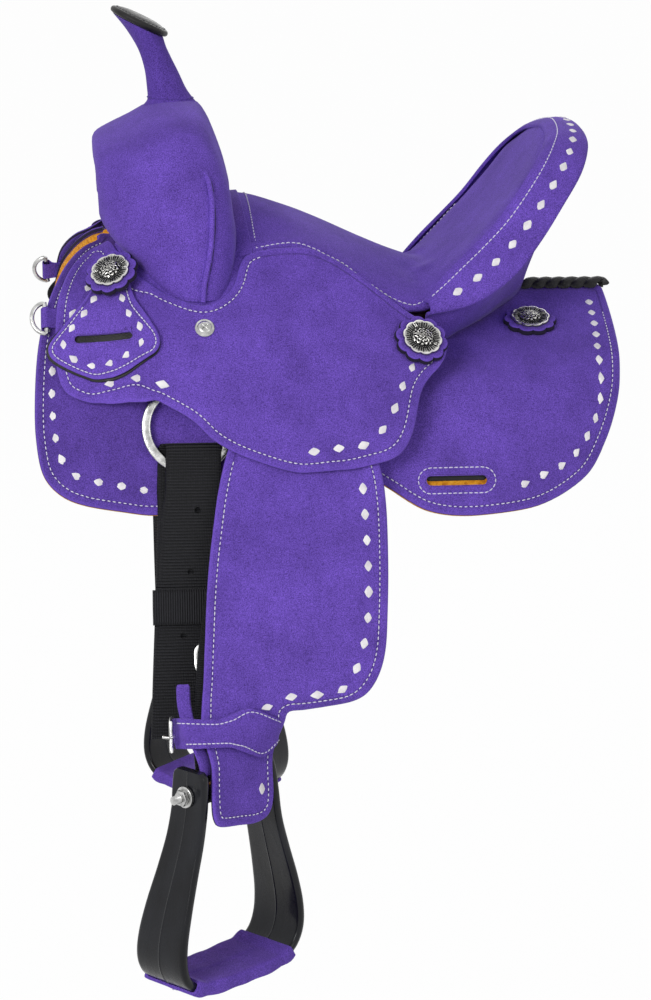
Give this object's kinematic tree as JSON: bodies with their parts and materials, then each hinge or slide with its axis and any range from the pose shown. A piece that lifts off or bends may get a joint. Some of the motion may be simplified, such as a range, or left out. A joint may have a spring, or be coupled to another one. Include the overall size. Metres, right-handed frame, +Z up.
{
  "type": "barrel racing saddle",
  "caption": "Western barrel racing saddle with tall horn, high cantle, suede seat, skirts and fenders, rigging rings, cinch straps and bell stirrups.",
  "frame": {"origin": "on the ridge line of the saddle where it lies on the horse's back, at the middle of its length", "axes": "+X towards the cantle, the rear of the horse; -X towards the horn; -Y to the horse's left side; +Z up"},
  "size_m": [0.4898, 0.6202, 0.7679],
  "materials": {
    "purple_suede": "suede, napped",
    "black_leather": "smooth",
    "lining": "felt",
    "webbing": "ribbed nylon",
    "plastic": "moulded, semi-gloss",
    "steel": "polished",
    "silver": "antiqued",
    "wood": "bare"
  },
  "bodies": {
    "saddle": {"cantle_cover": "purple_suede", "concho_front_left": "silver", "concho_front_right": "silver", "concho_rear_left": "silver", "concho_rear_right": "silver", "concho_seat_left": "silver", "concho_seat_right": "silver", "dee_tab_left": "black_leather", "dee_tab_right": "black_leather", "fork_cover": "purple_suede", "horn_cap": "black_leather", "horn_neck": "purple_suede", "jockey_left": "purple_suede", "jockey_right": "purple_suede", "jockey_screw_left": "steel", "jockey_screw_right": "steel", "latigo_keeper_left": "purple_suede", "latigo_keeper_right": "purple_suede", "lining_left": "lining", "lining_right": "lining", "rigging_ring_left": "steel", "rigging_ring_right": "steel", "rigging_strap_left": "purple_suede", "rigging_strap_right": "purple_suede", "rosette_front_left": "purple_suede", "rosette_front_right": "purple_suede", "rosette_rear_left": "purple_suede", "rosette_rear_right": "purple_suede", "rosette_seat_left": "purple_suede", "rosette_seat_right": "purple_suede", "seat_cover": "purple_suede", "skirt_lace": "black_leather", "skirt_left": "purple_suede", "skirt_right": "purple_suede", "tree_bar_left": "wood", "tree_bar_right": "wood", "tree_cantle": "wood", "tree_fork": "wood"},
    "fender_left": {"fender_left": "purple_suede", "stirrup_leather_left": "black_leather", "length_buckle_left": "steel", "hobble_strap_left": "purple_suede", "hobble_buckle_left": "steel"},
    "cinch_left": {"cinch_strap_left": "webbing", "strap_loop_left": "plastic"},
    "stirrup_left": {"stirrup_left": "plastic", "stirrup_bolt_left": "steel", "tread_wrap_left": "purple_suede"},
    "breast_dee_left": {"breast_dee_left": "steel"},
    "fender_right": {"fender_right": "purple_suede", "stirrup_leather_right": "black_leather", "length_buckle_right": "steel", "hobble_strap_right": "purple_suede", "hobble_buckle_right": "steel"},
    "cinch_right": {"cinch_strap_right": "webbing", "strap_loop_right": "plastic"},
    "stirrup_right": {"stirrup_right": "plastic", "stirrup_bolt_right": "steel", "tread_wrap_right": "purple_suede"},
    "breast_dee_right": {"breast_dee_right": "steel"}
  },
  "joints": [
    {"name": "fender_left_swing", "type": "hinge", "parent": "saddle", "child": "fender_left", "pos_m": [-0.072, -0.15864, -0.05738], "axis": [0, -0.9563, 0.2924], "range_deg": [-1, 12]},
    {"name": "stirrup_left_swing", "type": "hinge", "parent": "fender_left", "child": "stirrup_left", "pos_m": [-0.1015, -0.24869, -0.35192], "axis": [-0.7431, -0.6691, 0], "range_deg": [-25, 35]},
    {"name": "cinch_left_swing", "type": "hinge", "parent": "saddle", "child": "cinch_left", "pos_m": [-0.125, -0.16498, -0.07813], "axis": [0, -0.9563, 0.2924], "range_deg": [-12, 1]},
    {"name": "breast_dee_left_flip", "type": "hinge", "parent": "saddle", "child": "breast_dee_left", "pos_m": [-0.238, -0.13324, 0.00714], "axis": [-0.0638, 0.4979, 0.8649], "range_deg": [0, 80]},
    {"name": "fender_right_swing", "type": "hinge", "parent": "saddle", "child": "fender_right", "pos_m": [-0.072, 0.15864, -0.05738], "axis": [0, 0.9563, 0.2924], "range_deg": [-9, 1]},
    {"name": "stirrup_right_swing", "type": "hinge", "parent": "fender_right", "child": "stirrup_right", "pos_m": [-0.08696, 0.24899, -0.35292], "axis": [-0.7331, 0.6793, -0.0333], "range_deg": [-35, 25]},
    {"name": "cinch_right_swing", "type": "hinge", "parent": "saddle", "child": "cinch_right", "pos_m": [-0.125, 0.16498, -0.07813], "axis": [0, 0.9563, 0.2924], "range_deg": [0, 12]},
    {"name": "breast_dee_right_flip", "type": "hinge", "parent": "saddle", "child": "breast_dee_right", "pos_m": [-0.238, 0.13324, 0.00714], "axis": [-0.0638, -0.4979, 0.8649], "range_deg": [-80, 0]}
  ]
}
